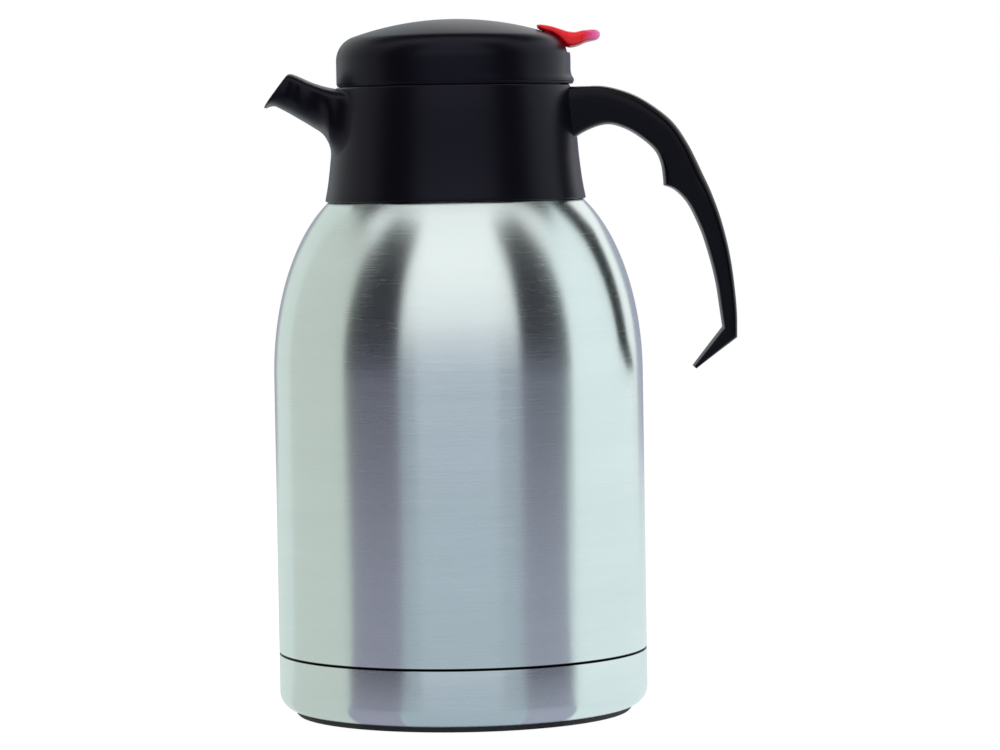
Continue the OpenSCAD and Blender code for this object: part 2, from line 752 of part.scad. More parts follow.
// Side outline of the lever's blade, measured from its pivot
blade_line = [
    [-4.2, 8.7], [-3.4, 8.1], [1, 5.8], [4.5, 3.4], [6.9, 0.7], [7.6, 0.3], [10.9, 0.7], [14.2, 2.1],
    [18.4, 3], [19.6, 3.7], [20, 5], [19.4, 6.3], [17.5, 7], [12.8, 6.7], [9.5, 6.1], [5.8, 7], [1.9, 8.3],
    [-1.9, 9.1], [-3.6, 9.2]
];
fork_gap = stem_r + 0.7;
fork_w = fork_gap + 2.3;
module thumb_lever() {
    blade = [for (p = blade_line) lever_pivot + p * lever_len / 24.2];
    fork = [0, fork_z];
    arm_low = 1.3;
    k = lever_len / 24.2;
    color(lever_red) difference() {
        union() {
            intersection() {
                plate_y(blade, lever_w);
                blade_plan();
            }
            plate_y([
                lever_pivot + k * [-1.4, 1], lever_pivot + k * [3, -2], lever_pivot + k * [7, 0.6],
                lever_pivot + k * [4.6, 3.6], lever_pivot + k * [0.4, 6.4], lever_pivot + k * [-1.4, 7.3]
            ], lever_w - 2);
            bar_y(lever_pivot, lever_hub_r, -lever_w + 0.4, lever_w - 0.4);
            plate_y([
                fork + [0, -arm_low], lever_pivot + [-2, -2], lever_pivot + [-1, 2],
                fork + [6, arm_low + 0.6], fork + [0, arm_low]
            ], fork_w);
            bar_y(fork, lift_pad_r, -fork_w, fork_w);
        }
        bar_y(lever_pivot, lever_pin_r + run_fit, -20, 20);
        translate([-10, -fork_gap, fork_z - 10]) cube([10 + fork_gap + 3, 2 * fork_gap, 20]);
    }
}

// Plan of the blade: a rounded tail and softened front corners
module blade_plan() {
    tail_r = 7;
    front_r = 3;
    x_low = lever_pivot[0] - 4.2 * lever_len / 24.2;
    x_high = x_low + lever_len;
    translate([0, 0, lever_pivot[1] - 5]) linear_extrude(20) {
        translate([x_low + front_r, -lever_w]) square([x_high - x_low - front_r - tail_r, 2 * lever_w]);
        translate([x_low, -lever_w + front_r]) square([front_r + 1, 2 * (lever_w - front_r)]);
        translate([x_high - tail_r - 1, -lever_w + tail_r]) square([tail_r + 1, 2 * (lever_w - tail_r)]);
        for (side = [-1, 1]) {
            translate([x_low + front_r, side * (lever_w - front_r)]) circle(r = front_r);
            translate([x_high - tail_r, side * (lever_w - tail_r)]) circle(r = tail_r);
        }
    }
}

outer_shell();
inner_flask();
bottom_plate();
getter();
vacuum_seal();
base_cup();
base_pad();
collar();
spout();
collar_gasket();
handle();
handle_screws();
hinge_pin();
lid_dome();
lid_deck();
lid_screws();
stopper_cup();
stopper_seal();
stem_oring();
lever_pin();
thumb_lever();
valve_stem();
valve_disc();
stem_clip();
valve_spring();
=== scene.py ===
# %% [markdown]
# # A vacuum carafe with a hinged pour-through lid
# The carafe is a double-walled steel bottle with a black moulded collar and spout, a black handle,
# a domed lid that swings up on a hidden hinge, and a red thumb lever that opens the pour valve.
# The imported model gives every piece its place. This script gives the visible pieces their finish
# and remodels the ones whose curves are finer than the frame's flat bands.

import json
import math

import bmesh
import bpy
from mathutils import Matrix, Vector


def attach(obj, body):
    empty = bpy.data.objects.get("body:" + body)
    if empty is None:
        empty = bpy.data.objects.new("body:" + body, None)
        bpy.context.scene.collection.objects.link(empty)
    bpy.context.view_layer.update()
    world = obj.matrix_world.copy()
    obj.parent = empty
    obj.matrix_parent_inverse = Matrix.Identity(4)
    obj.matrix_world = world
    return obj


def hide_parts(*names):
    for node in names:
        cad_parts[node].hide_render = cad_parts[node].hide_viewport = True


MM = 0.001
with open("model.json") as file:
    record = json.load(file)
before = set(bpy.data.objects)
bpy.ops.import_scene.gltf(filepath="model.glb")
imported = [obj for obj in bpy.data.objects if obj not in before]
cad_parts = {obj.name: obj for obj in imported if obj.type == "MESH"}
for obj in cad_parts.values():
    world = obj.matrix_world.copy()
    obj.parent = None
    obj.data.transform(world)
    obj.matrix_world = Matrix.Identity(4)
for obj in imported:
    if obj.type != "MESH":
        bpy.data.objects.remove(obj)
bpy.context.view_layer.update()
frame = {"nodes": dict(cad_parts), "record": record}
nodes = frame["nodes"]

# %% [markdown]
# ## Camera
# The photograph looks at the side of the carafe from about 1.6 m with a long lens, a little below
# the lid's height and tilted down by 3 degrees. The camera is rolled by one degree, so the upright
# carafe leans slightly to the left in the picture, as it does in the photograph.

# %% Camera
camera_distance = 1.6
eye_height = 0.2140
aim = Vector((0.0159, 0, 0.1291))
camera_roll = math.radians(0.95)
camera_data = bpy.data.cameras.new("camera")
camera_data.sensor_width = 36
camera_data.lens = 150
camera = bpy.data.objects.new("camera", camera_data)
bpy.context.scene.collection.objects.link(camera)
camera.location = (aim.x, -camera_distance, eye_height)
towards = (aim - camera.location).to_track_quat("-Z", "Y")
camera.rotation_mode = "QUATERNION"
camera.rotation_quaternion = towards @ Matrix.Rotation(-camera_roll, 3, "Z").to_quaternion()
bpy.context.scene.camera = camera
print("camera at", tuple(round(c, 3) for c in camera.location), "with a", camera_data.lens, "mm lens")

# %% [markdown]
# ## Sky
# The photograph's background is plain white. More light would bleach the object, so the white is only
# shown to the camera and to reflections, by asking of each ray what kind it is. Every other ray
# meets a softer sky, which fills the shadows. First comes a helper that adds a node, sets it and
# links it in one call, because every finish below is built from such nodes.

# %% Node helper
def add_node(tree, kind, inputs=None, **settings):
    """A shader node with its settings. Each input gets a value, or a link from another node's output."""
    node = tree.nodes.new("ShaderNode" + kind)
    for title, value in settings.items():
        setattr(node, title, value)
    for title, value in (inputs or {}).items():
        if isinstance(value, bpy.types.NodeSocket):
            tree.links.new(value, node.inputs[title])
        else:
            node.inputs[title].default_value = value
    return node


# %% Sky
scene = bpy.context.scene
scene.view_settings.view_transform = "Standard"
fill_strength = 0.55
world = bpy.data.worlds.new("studio")
scene.world = world
world.use_nodes = True
sky = world.node_tree
sky.nodes.clear()
ray = add_node(sky, "LightPath")
camera_or_glossy = add_node(sky, "Math", {0: ray.outputs["Is Camera Ray"], 1: ray.outputs["Is Glossy Ray"]},
                            operation="MAXIMUM")
sees_white = add_node(sky, "Math", {0: camera_or_glossy.outputs[0], 1: ray.outputs["Is Transmission Ray"]},
                      operation="MAXIMUM")
fill_light = add_node(sky, "Background", {"Color": (0.93, 0.96, 1.0, 1), "Strength": fill_strength})
white_sky = add_node(sky, "Background", {"Color": (1, 1, 1, 1), "Strength": 1.0})
sky_mix = add_node(sky, "MixShader",
                   {0: sees_white.outputs[0], 1: fill_light.outputs[0], 2: white_sky.outputs[0]})
add_node(sky, "OutputWorld", {"Surface": sky_mix.outputs[0]})
print("strength of the sky's fill:", fill_strength)

# %% [markdown]
# ## Floor
# A white floor carries the soft shadow. Painted white alone it would look grey beside the sky, since a
# floor returns only part of the light that falls on it.

# %% Stage helpers
def new_material(name):
    """A material with an empty node tree, and that tree."""
    material = bpy.data.materials.new(name)
    material.use_nodes = True
    material.node_tree.nodes.clear()
    return material, material.node_tree


def flat_card(size, centre, turn):
    """A rectangle of a size in m, turned and then moved to its centre."""
    bm = bmesh.new()
    bmesh.ops.create_grid(bm, x_segments=1, y_segments=1, size=0.5)
    bmesh.ops.scale(bm, verts=bm.verts, vec=(*size, 1))
    bmesh.ops.rotate(bm, verts=bm.verts, matrix=turn)
    bmesh.ops.translate(bm, verts=bm.verts, vec=centre)
    return bm


def stage_piece(name, bm, material):
    """Puts a card or floor in an object that belongs to the studio."""
    mesh = bpy.data.meshes.new(name)
    bm.to_mesh(mesh)
    bm.free()
    mesh.materials.append(material)
    obj = bpy.data.objects.new(name, mesh)
    bpy.context.scene.collection.objects.link(obj)
    return obj


# %% Floor
floor_look, floor_tree = new_material("white_floor")
floor_ray = add_node(floor_tree, "LightPath")
glow_share = add_node(floor_tree, "Math", {0: floor_ray.outputs["Is Camera Ray"], 1: 0.82},
                      operation="MULTIPLY")
floor_paint = add_node(floor_tree, "BsdfDiffuse", {"Color": (0.9, 0.9, 0.9, 1)})
floor_glow = add_node(floor_tree, "Emission", {"Color": (1, 1, 1, 1), "Strength": 1.12})
floor_mix = add_node(floor_tree, "MixShader",
                     {0: glow_share.outputs[0], 1: floor_paint.outputs[0], 2: floor_glow.outputs[0]})
add_node(floor_tree, "OutputMaterial", {"Surface": floor_mix.outputs[0]})
floor_size = 6.0
level_turn = Matrix.Identity(3)
floor = stage_piece("floor", flat_card((floor_size, floor_size), (0, 0, -0.0002), level_turn), floor_look)
print("floor in m:", [round(d, 2) for d in floor.dimensions])

# %% [markdown]
# ## Cards round the carafe
# Brushed steel has no colour of its own to speak of, so its look is made by what it mirrors. A studio
# puts cards round such an object: two black ones left and right of the camera draw the dark upright
# bands, and greys fill the rest. The white sky above them gives the bright top of the middle band.
# Each card is seen only by glossy rays, so it casts neither light nor shadow. Azimuths count from the
# camera's side. The narrow soft cards stand behind the black ones and soften their inner edges low
# down.

# %% Upright cards
tent_radius = 1.25
tent_height = 1.5


def reflector(name, bm, level):
    """A card with its own plain brightness, that only reflections see."""
    look, tree = new_material(name)
    glow = add_node(tree, "Emission", {"Color": (*level, 1)})
    add_node(tree, "OutputMaterial", {"Surface": glow.outputs[0]})
    card = stage_piece(name, bm, look)
    card.visible_camera = False
    card.visible_diffuse = False
    card.visible_transmission = False
    card.visible_shadow = False
    return card


def upright_card(name, azimuth_from, azimuth_to, level, height=tent_height, distance=tent_radius):
    """An upright card that fills a sweep of directions, in degrees from the camera's side."""
    middle = math.radians((azimuth_from + azimuth_to) / 2)
    half = math.radians(abs(azimuth_to - azimuth_from) / 2)
    facing = Matrix.Rotation(middle, 3, "Z") @ Matrix.Rotation(math.pi / 2, 3, "X")
    centre = Vector((math.sin(middle), -math.cos(middle), 0)) * distance
    centre.z = height / 2
    return reflector(name, flat_card((2 * distance * math.tan(half), height), centre, facing), level)


black_felt = (0.010, 0.009, 0.013)
cards = [
    upright_card("card_dark_left", -73.4, -36, black_felt, height=2.3),
    upright_card("card_dark_right", 39, 73, black_felt, height=2.3),
    upright_card("card_soft_left", -44, -25, (0.10, 0.10, 0.17), height=0.36, distance=1.5),
    upright_card("card_soft_right", 24, 45, (0.13, 0.13, 0.21), height=0.36, distance=1.5),
    upright_card("card_grey_front", -36, 39, (0.34, 0.36, 0.49), height=0.46, distance=1.8),
    upright_card("card_grey_left", -128, -73.4, (0.60, 0.62, 0.59), distance=1.3),
    upright_card("card_grey_back_left", -178, -127, (0.68, 0.73, 0.70), distance=1.3),
    upright_card("card_pale_right", 73, 135, (0.88, 0.93, 0.95), distance=1.3),
    upright_card("card_grey_behind_left", -184, -154, (0.36, 0.37, 0.42), height=0.45, distance=1.2),
    upright_card("card_grey_behind_right", 146, 178, (0.36, 0.37, 0.46), height=0.45, distance=1.2),
]
hung_turn = Matrix.Rotation(math.radians(-30), 3, "X")
cards.append(reflector("card_dark_above_back", flat_card((3.0, 1.1), (0, 0.80, 1.59), hung_turn),
                       (0.02, 0.02, 0.03)))
print("cards:", len(cards))

# %% [markdown]
# ## Mats on the floor
# Low on the body, the steel mirrors the floor. Mats carry the bands of the cards down to the foot.
# A cylinder turns a ray by twice the angle at which it is met, so a mat's side starts at half its
# azimuth beside the foot and runs straight out to the full azimuth. That keeps the bands upright.

# %% Floor mats
foot_room, mat_end, mat_height = 0.062, 1.7, 0.0004


def floor_mat(name, azimuth_from, azimuth_to, level):
    """A mat between two straight sides that leave the foot on a slant, seen only by reflections."""
    bm = bmesh.new()
    bmesh.ops.create_grid(bm, x_segments=12, y_segments=1, size=0.5)
    for vert in bm.verts:
        azimuth = math.radians(azimuth_from + (azimuth_to - azimuth_from) * (vert.co.x + 0.5))
        at_foot = vert.co.y < 0
        azimuth = azimuth / 2 if at_foot else azimuth
        reach = foot_room if at_foot else mat_end
        vert.co = (math.sin(azimuth) * reach, -math.cos(azimuth) * reach, mat_height)
    return reflector(name, bm, level)


mats = [
    floor_mat("mat_front", -36, 37, (0.42, 0.48, 0.55)),
    floor_mat("mat_dark_left", -70, -36, (0.36, 0.345, 0.44)),
    floor_mat("mat_dark_right", 37, 69, (0.40, 0.40, 0.50)),
    floor_mat("mat_left", -128, -70, (0.60, 0.64, 0.61)),
    floor_mat("mat_back_left", -180, -128, (0.68, 0.75, 0.73)),
    floor_mat("mat_right", 69, 180, (0.77, 0.84, 0.86)),
]
print("mats:", [mat.name for mat in mats])

# %% [markdown]
# ## Lamps
# Three soft lamps light the plastics and draw the shadow: one from the left, a weaker and bluer one
# from the right, and one from above the camera. They are hidden from reflections, so that the
# cards alone decide what the steel shows.

# %% Lamps
def soft_lamp(name, azimuth, elevation, distance, size, power, colour):
    """An area lamp that looks at the middle of the carafe and isn't mirrored in the steel."""
    data = bpy.data.lights.new(name, "AREA")
    data.shape = "RECTANGLE"
    data.size, data.size_y = size
    data.energy = power
    data.color = colour
    lamp = bpy.data.objects.new(name, data)
    around, up = math.radians(azimuth), math.radians(elevation)
    middle = Vector((0, 0, 0.14))
    lamp.location = middle + distance * Vector(
        (math.sin(around) * math.cos(up), -math.cos(around) * math.cos(up), math.sin(up)))
    lamp.rotation_euler = (middle - lamp.location).to_track_quat("-Z", "Y").to_euler()
    lamp.visible_glossy = False
    bpy.context.scene.collection.objects.link(lamp)
    return lamp


lamps = [
    soft_lamp("key_left", -60, 42, 1.6, (0.9, 0.9), 15, (0.97, 0.98, 1.0)),
    soft_lamp("fill_right", 75, 30, 1.6, (0.9, 0.9), 11, (0.86, 0.88, 1.0)),
    soft_lamp("front_top", 5, 60, 1.7, (0.7, 0.5), 9, (1.0, 1.0, 1.0)),
]
print("lamps in W:", {lamp.name: lamp.data.energy for lamp in lamps})

# %% [markdown]
# ## Effects that several finishes share
# Each effect is one node group with named sockets, built once and placed in every material that
# needs it with that material's own values. A small helper makes an empty group.

# %% Empty node group
def node_group(name, inputs, outputs):
    """An empty shader group. inputs are (name, default) pairs and outputs (name, socket type) pairs."""
    group = bpy.data.node_groups.new(name, "ShaderNodeTree")
    for title, default in inputs:
        socket = group.interface.new_socket(title, in_out="INPUT", socket_type="NodeSocketFloat")
        socket.default_value = default
    for title, kind in outputs:
        group.interface.new_socket(title, in_out="OUTPUT", socket_type=kind)
    start = group.nodes.new("NodeGroupInput")
    end = group.nodes.new("NodeGroupOutput")
    return group, start.outputs, end.inputs


# %% [markdown]
# ## Brushing
# A steel bottle is brushed while it turns, which leaves fine hair lines round it. They could be
# painted, but a noise that is stretched round the body and squeezed along its height reads the same
# and needs no picture. A slower noise adds the faint clouds that brushing leaves.

# %% Brushed lines
def brushed_lines():
    """Hair lines round the Z axis: a fine mask, a slow drift and a bumped normal."""
    group, given, result = node_group(
        "brushed_lines", [("Lines per metre", 2600.0), ("Line length", 0.03), ("Depth", 0.4)],
        [("Lines", "NodeSocketFloat"), ("Drift", "NodeSocketFloat"), ("Normal", "NodeSocketVector")])
    place = add_node(group, "TexCoord").outputs["Object"]
    along = add_node(group, "Math", {0: 1.0, 1: given["Line length"]}, operation="DIVIDE").outputs[0]
    squeeze = add_node(group, "CombineXYZ", {"X": along, "Y": along, "Z": given["Lines per metre"]})
    fine_place = add_node(group, "VectorMath", {0: place, 1: squeeze.outputs[0]}, operation="MULTIPLY")
    fine = add_node(group, "TexNoise", {"Vector": fine_place.outputs[0], "Scale": 1.0, "Detail": 3.0,
                                        "Roughness": 0.65}).outputs["Fac"]
    slow_place = add_node(group, "VectorMath", {0: place, 1: (9.0, 9.0, 90.0)}, operation="MULTIPLY")
    slow = add_node(group, "TexNoise", {"Vector": slow_place.outputs[0], "Scale": 1.0, "Detail": 4.0})
    bump = add_node(group, "Bump", {"Distance": 0.00002, "Strength": given["Depth"], "Height": fine})
    group.links.new(fine, result["Lines"])
    group.links.new(slow.outputs["Fac"], result["Drift"])
    group.links.new(bump.outputs["Normal"], result["Normal"])
    return group


brushed_lines_group = brushed_lines()
print(brushed_lines_group.name, "has", len(brushed_lines_group.nodes), "nodes")

# %% [markdown]
# ## Moulded grain
# Plastic takes over the texture of its mould. The stipple is a fine noise that only bumps the
# normal, and a slow one varies the gloss in patches, so that no face looks like plain paint.

# %% Moulded skin
def moulded_skin():
    """The stipple of a textured mould: a slow patchiness and a normal bumped by fine grain."""
    group, given, result = node_group(
        "moulded_skin", [("Grain per metre", 2600.0), ("Depth", 0.3)],
        [("Patches", "NodeSocketFloat"), ("Normal", "NodeSocketVector")])
    place = add_node(group, "TexCoord").outputs["Object"]
    grain = add_node(group, "TexNoise", {"Vector": place, "Scale": given["Grain per metre"], "Detail": 2.0})
    patches = add_node(group, "TexNoise", {"Vector": place, "Scale": 45.0, "Detail": 3.0})
    bump = add_node(group, "Bump", {"Distance": 0.00006, "Strength": given["Depth"],
                                    "Height": grain.outputs["Fac"]})
    group.links.new(patches.outputs["Fac"], result["Patches"])
    group.links.new(bump.outputs["Normal"], result["Normal"])
    return group


moulded_skin_group = moulded_skin()
print(moulded_skin_group.name, "has", len(moulded_skin_group.nodes), "nodes")

# %% [markdown]
# ## Edge wear
# Handling polishes the edges first. The effect compares the true normal with a rounded one. Where
# they differ there is an edge, and a noise breaks it up so that the wear isn't a drawn line.

# %% Edge wear
def edge_wear():
    """A mask that is 1 on worn edges and 0 on faces, broken up by noise."""
    group, given, result = node_group(
        "edge_wear", [("Radius", 0.0006), ("Amount", 1.0)], [("Wear", "NodeSocketFloat")])
    rounded = add_node(group, "Bevel", {"Radius": given["Radius"]}, samples=4).outputs["Normal"]
    true = add_node(group, "NewGeometry").outputs["Normal"]
    agree = add_node(group, "VectorMath", {0: rounded, 1: true}, operation="DOT_PRODUCT")
    edge = add_node(group, "MapRange",
                    {"Value": agree.outputs["Value"], "From Min": 0.985, "From Max": 0.86})
    place = add_node(group, "TexCoord").outputs["Object"]
    scuffs = add_node(group, "TexNoise", {"Vector": place, "Scale": 380.0, "Detail": 4.0})
    worn = add_node(group, "Math", {0: edge.outputs["Result"], 1: scuffs.outputs["Fac"]},
                    operation="MULTIPLY")
    scaled = add_node(group, "Math", {0: worn.outputs[0], 1: given["Amount"]},
                      operation="MULTIPLY", use_clamp=True)
    group.links.new(scaled.outputs[0], result["Wear"])
    return group


edge_wear_group = edge_wear()
print(edge_wear_group.name, "has", len(edge_wear_group.nodes), "nodes")

# %% [markdown]
# ## Material helpers
# Three small steps come back in every finish: placing a group with its values, stretching a mask to
# a range of roughness, and mixing two colours by a mask.

# %% Material helpers
def spaced(values):
    """Socket names written with underscores, as the sockets spell them."""
    return {title.replace("_", " "): value for title, value in values.items()}


def add_group(tree, group, **values):
    """Places a node group in a material with its own values."""
    return add_node(tree, "Group", spaced(values), node_tree=group)


def spread(tree, mask, low, high):
    """Maps a mask from 0..1 to low..high."""
    return add_node(tree, "MapRange", {"Value": mask, "To Min": low, "To Max": high}).outputs["Result"]


def blend_colours(tree, mask, low, high, **settings):
    """Mixes two colours by a mask. low may be a colour or another node's output."""
    first, second, mixed = 6, 7, 2
    if isinstance(low, tuple):
        low = (*low, 1)
    return add_node(tree, "Mix", {"Factor": mask, first: low, second: (*high, 1)},
                    data_type="RGBA", **settings).outputs[mixed]


# %% [markdown]
# ## Steel
# The steel is brushed round the body, so its highlights stretch up and down. That is an
# anisotropic reflection whose tangent runs round the Z axis. In the seam above the foot the shade is
# painted in: the finish turns nearly black in a thin ring at that height, where no light gets back out.

# %% Steel finishes
def paint_seam_shade(tree, colour, height, half_width):
    """The same colour with painted shade: nearly black in a thin ring at one height in m."""
    place = add_node(tree, "TexCoord").outputs["Object"]
    up = add_node(tree, "SeparateXYZ", {0: place}).outputs["Z"]
    offset = add_node(tree, "Math", {0: up, 1: height}, operation="SUBTRACT")
    away = add_node(tree, "Math", {0: offset.outputs[0]}, operation="ABSOLUTE")
    mask = add_node(tree, "MapRange", {"Value": away.outputs[0], "From Min": half_width,
                                       "From Max": 1.5 * half_width, "To Min": 1.0, "To Max": 0.0})
    # Painted shade: the ring is blended to near black.
    return blend_colours(tree, mask.outputs[0], colour, (0.012, 0.011, 0.014))


def steel_finish(name, colours, roughness, anisotropy, lines, seam=None):
    """Brushed stainless steel. colours is (between the lines, on the lines)."""
    material, tree = new_material(name)
    brushing = add_group(tree, brushed_lines_group, **lines).outputs
    tone = blend_colours(tree, brushing["Lines"], *colours)
    clouded = blend_colours(tree, brushing["Drift"], tone, colours[1], blend_type="SOFT_LIGHT")
    # With a seam given, the base colour carries a ring of painted shade there.
    shader = add_node(tree, "BsdfPrincipled", {
        "Metallic": 1.0, "Anisotropic": anisotropy, "Anisotropic Rotation": 0.25,
        "Base Color": paint_seam_shade(tree, clouded, *seam) if seam else clouded,
        "Roughness": spread(tree, brushing["Lines"], *roughness), "Normal": brushing["Normal"],
        "Tangent": add_node(tree, "Tangent", direction_type="RADIAL", axis="Z").outputs[0]})
    add_node(tree, "OutputMaterial", {"Surface": shader.outputs[0]})
    return material


# Height of the seam above the foot, and half width of the ring of painted shade there, in mm.
seam_z, shade_ring_half = 24.0, 0.42
body_steel = steel_finish(
    "brushed_body", ((0.71, 0.80, 0.78), (0.78, 0.88, 0.86)), (0.20, 0.31), 0.88,
    {"Lines_per_metre": 3000.0, "Line_length": 0.02, "Depth": 0.30}, seam=(seam_z * MM, shade_ring_half * MM))
inner_steel = steel_finish(
    "plain_steel", ((0.62, 0.64, 0.65), (0.70, 0.72, 0.72)), (0.24, 0.36), 0.4,
    {"Lines_per_metre": 1500.0, "Line_length": 0.012, "Depth": 0.25})
print("steel finishes:", body_steel.name, inner_steel.name)

# %% [markdown]
# ## Plastics, silicone and rubber
# One function makes every moulded finish, since they differ only in colour, gloss and grain. The
# collar and the lid have a fine matte grain, and the handle is smoother and shinier. Blacks are
# kept very dark with a low specular level, because the white studio lights them from all sides.

# %% Moulded finishes
def moulded_finish(name, colour, worn_colour, roughness, grain, wear, **settings):
    """A moulded plastic or rubber. settings are plain values of the shader's own sockets."""
    material, tree = new_material(name)
    skin = add_group(tree, moulded_skin_group, **grain).outputs
    worn = add_group(tree, edge_wear_group, **wear).outputs["Wear"]
    lighter = tuple(min(1.0, c * 1.25) for c in colour)
    patchy = blend_colours(tree, skin["Patches"], colour, lighter)
    shader = add_node(tree, "BsdfPrincipled", {
        "Base Color": blend_colours(tree, worn, patchy, worn_colour),
        "Roughness": spread(tree, skin["Patches"], *roughness), "Normal": skin["Normal"],
        **spaced(settings)})
    add_node(tree, "OutputMaterial", {"Surface": shader.outputs[0]})
    return material


matte_black = moulded_finish(
    "matte_black", (0.0013, 0.0012, 0.0020), (0.014, 0.013, 0.02), (0.28, 0.34),
    {"Grain_per_metre": 2400.0, "Depth": 0.35}, {"Radius": 0.0006, "Amount": 0.8},
    Specular_IOR_Level=0.22, Specular_Tint=(0.72, 0.70, 1.0, 1),
    Sheen_Weight=0.03, Sheen_Roughness=0.35, Sheen_Tint=(0.30, 0.32, 1.0, 1))
gloss_black = moulded_finish(
    "gloss_black", (0.0010, 0.0010, 0.0013), (0.012, 0.012, 0.015), (0.22, 0.28),
    {"Grain_per_metre": 1100.0, "Depth": 0.05}, {"Radius": 0.0005, "Amount": 0.6},
    Specular_IOR_Level=0.2, Specular_Tint=(0.85, 0.85, 1.0, 1))
red_plastic = moulded_finish(
    "red_plastic", (0.52, 0.001, 0.006), (0.62, 0.05, 0.09), (0.24, 0.32),
    {"Grain_per_metre": 1100.0, "Depth": 0.04}, {"Radius": 0.0004, "Amount": 0.4},
    Subsurface_Weight=0.12, Subsurface_Scale=0.003)
natural_plastic = moulded_finish(
    "natural_plastic", (0.70, 0.68, 0.62), (0.80, 0.78, 0.72), (0.38, 0.46),
    {"Grain_per_metre": 1500.0, "Depth": 0.1}, {"Radius": 0.0004, "Amount": 0.4})
silicone = moulded_finish(
    "silicone", (0.62, 0.62, 0.60), (0.70, 0.70, 0.68), (0.40, 0.50),
    {"Grain_per_metre": 1500.0, "Depth": 0.1}, {"Radius": 0.0004, "Amount": 0.3},
    Subsurface_Weight=0.2, Subsurface_Scale=0.002)
black_rubber = moulded_finish(
    "black_rubber", (0.012, 0.012, 0.013), (0.05, 0.05, 0.05), (0.62, 0.74),
    {"Grain_per_metre": 1800.0, "Depth": 0.5}, {"Radius": 0.0005, "Amount": 0.6})
print("moulded finishes:", [look.name for look in (matte_black, gloss_black, red_plastic,
                                                   natural_plastic, silicone, black_rubber)])

# %% [markdown]
# ## Painted light in the lever's tail
# In the photograph the red lever turns pale pink towards its thin tail, where light comes through.
# That light is painted: a pale pink is blended along X into the finish that is already there.

# %% Painted light in the tail
def paint_tail_light(material, colour, x_from, x_to):
    """Paints light into a moulded finish: it grows paler along X, as thin tinted plastic looks where light
    gets through.
    """
    tree = material.node_tree
    shader = next(node for node in tree.nodes if node.type == "BSDF_PRINCIPLED")
    before = shader.inputs["Base Color"].links[0].from_socket
    place = add_node(tree, "TexCoord").outputs["Object"]
    along_x = add_node(tree, "SeparateXYZ", {0: place}).outputs["X"]
    along = add_node(tree, "MapRange", {"Value": along_x, "From Min": x_from, "From Max": x_to})
    # Painted light: a pale pink blended in towards the tail.
    tree.links.new(blend_colours(tree, along.outputs["Result"], before, colour), shader.inputs["Base Color"])


# The pink of the painted light, and the span along X in m over which it grows.
tail_light_pink, tail_from, tail_to = (0.60, 0.10, 0.36), 0.0495, 0.0565
paint_tail_light(red_plastic, tail_light_pink, tail_from, tail_to)
print("the lever pales over", round((tail_to - tail_from) / MM, 1), "mm")

# %% [markdown]
# ## Handing out the finishes
# The record says which finish each piece of the frame has. Pieces that nobody sees, such as the
# flask and the valve, keep the frame's own shape, and only take their finish here.

# %% Finishes of the frame's pieces
finishes = {
    "brushed_body": body_steel, "plain_steel": inner_steel, "matte_black": matte_black,
    "gloss_black": gloss_black, "red_plastic": red_plastic, "natural_plastic": natural_plastic,
    "silicone": silicone, "black_rubber": black_rubber,
}
for part in frame["record"]["subparts"]:
    mesh = nodes[part["node"]].data
    mesh.materials.clear()
    mesh.materials.append(finishes[part["material_slot"]])
print("finishes given to", len(nodes), "frame nodes")

# %% [markdown]
# ## Turning and lofting
# Most of the carafe is turned: a side profile is spun round the Z axis, as a lathe or a spinning
# mandrel would make it. The spout, handle and lever are lofted: a flat grid is wrapped through
# cross-sections, so every row of the grid is one section.

# %% Turn a profile and wrap a grid
def turned(points, rounds=None, steps=160):
    """Spins a closed side profile of (radius, height) points in mm. rounds maps a point to a radius."""
    bm = bmesh.new()
    verts = [bm.verts.new((r * MM, 0, z * MM)) for r, z in points]
    for start, end in zip(verts, verts[1:] + verts[:1]):
        if start.co.x > 0 or end.co.x > 0:
            bm.edges.new((start, end))
    for index, radius in (rounds or {}).items():
        bmesh.ops.bevel(bm, geom=[verts[index]], offset=radius * MM, offset_type="OFFSET", segments=4,
                        profile=0.5, affect="VERTICES", clamp_overlap=True, material=-1)
    bmesh.ops.spin(bm, geom=bm.verts[:] + bm.edges[:], cent=(0, 0, 0), axis=(0, 0, 1),
                   angle=2 * math.pi, steps=steps, use_merge=True)
    bmesh.ops.remove_doubles(bm, verts=bm.verts, dist=0.002 * MM)
    bmesh.ops.dissolve_degenerate(bm, dist=0.001 * MM, edges=bm.edges)
    bmesh.ops.recalc_face_normals(bm, faces=bm.faces)
    return bm


def wrapped(around, along, place, cap_ends=True):
    """Wraps a grid into a tube. place(i, k) gives the point in mm at step i round row k."""
    bm = bmesh.new()
    bmesh.ops.create_grid(bm, x_segments=around, y_segments=along, size=0.5)
    for vert in bm.verts:
        i = round((vert.co.x + 0.5) * around) % around
        k = round((vert.co.y + 0.5) * along)
        vert.co = Vector(place(i, k)) * MM
    bmesh.ops.remove_doubles(bm, verts=bm.verts, dist=0.001 * MM)
    if cap_ends:
        ends = [edge for edge in bm.edges if edge.is_boundary]
        bmesh.ops.holes_fill(bm, edges=ends, sides=0)
    bmesh.ops.recalc_face_normals(bm, faces=bm.faces)
    return bm


# %% [markdown]
# ## From mesh to finished piece
# A bmesh becomes an object, tools cut it or grow it with a Boolean that is applied at once, and a
# finished piece gets its shading, its finish, the body that it rides on and the frame nodes that
# it stands for.

# %% Make, combine and dress a piece
def mesh_object(bm, name):
    """Puts a finished bmesh in an object of its own."""
    mesh = bpy.data.meshes.new(name)
    bm.to_mesh(mesh)
    bm.free()
    obj = bpy.data.objects.new(name, mesh)
    bpy.context.scene.collection.objects.link(obj)
    return obj


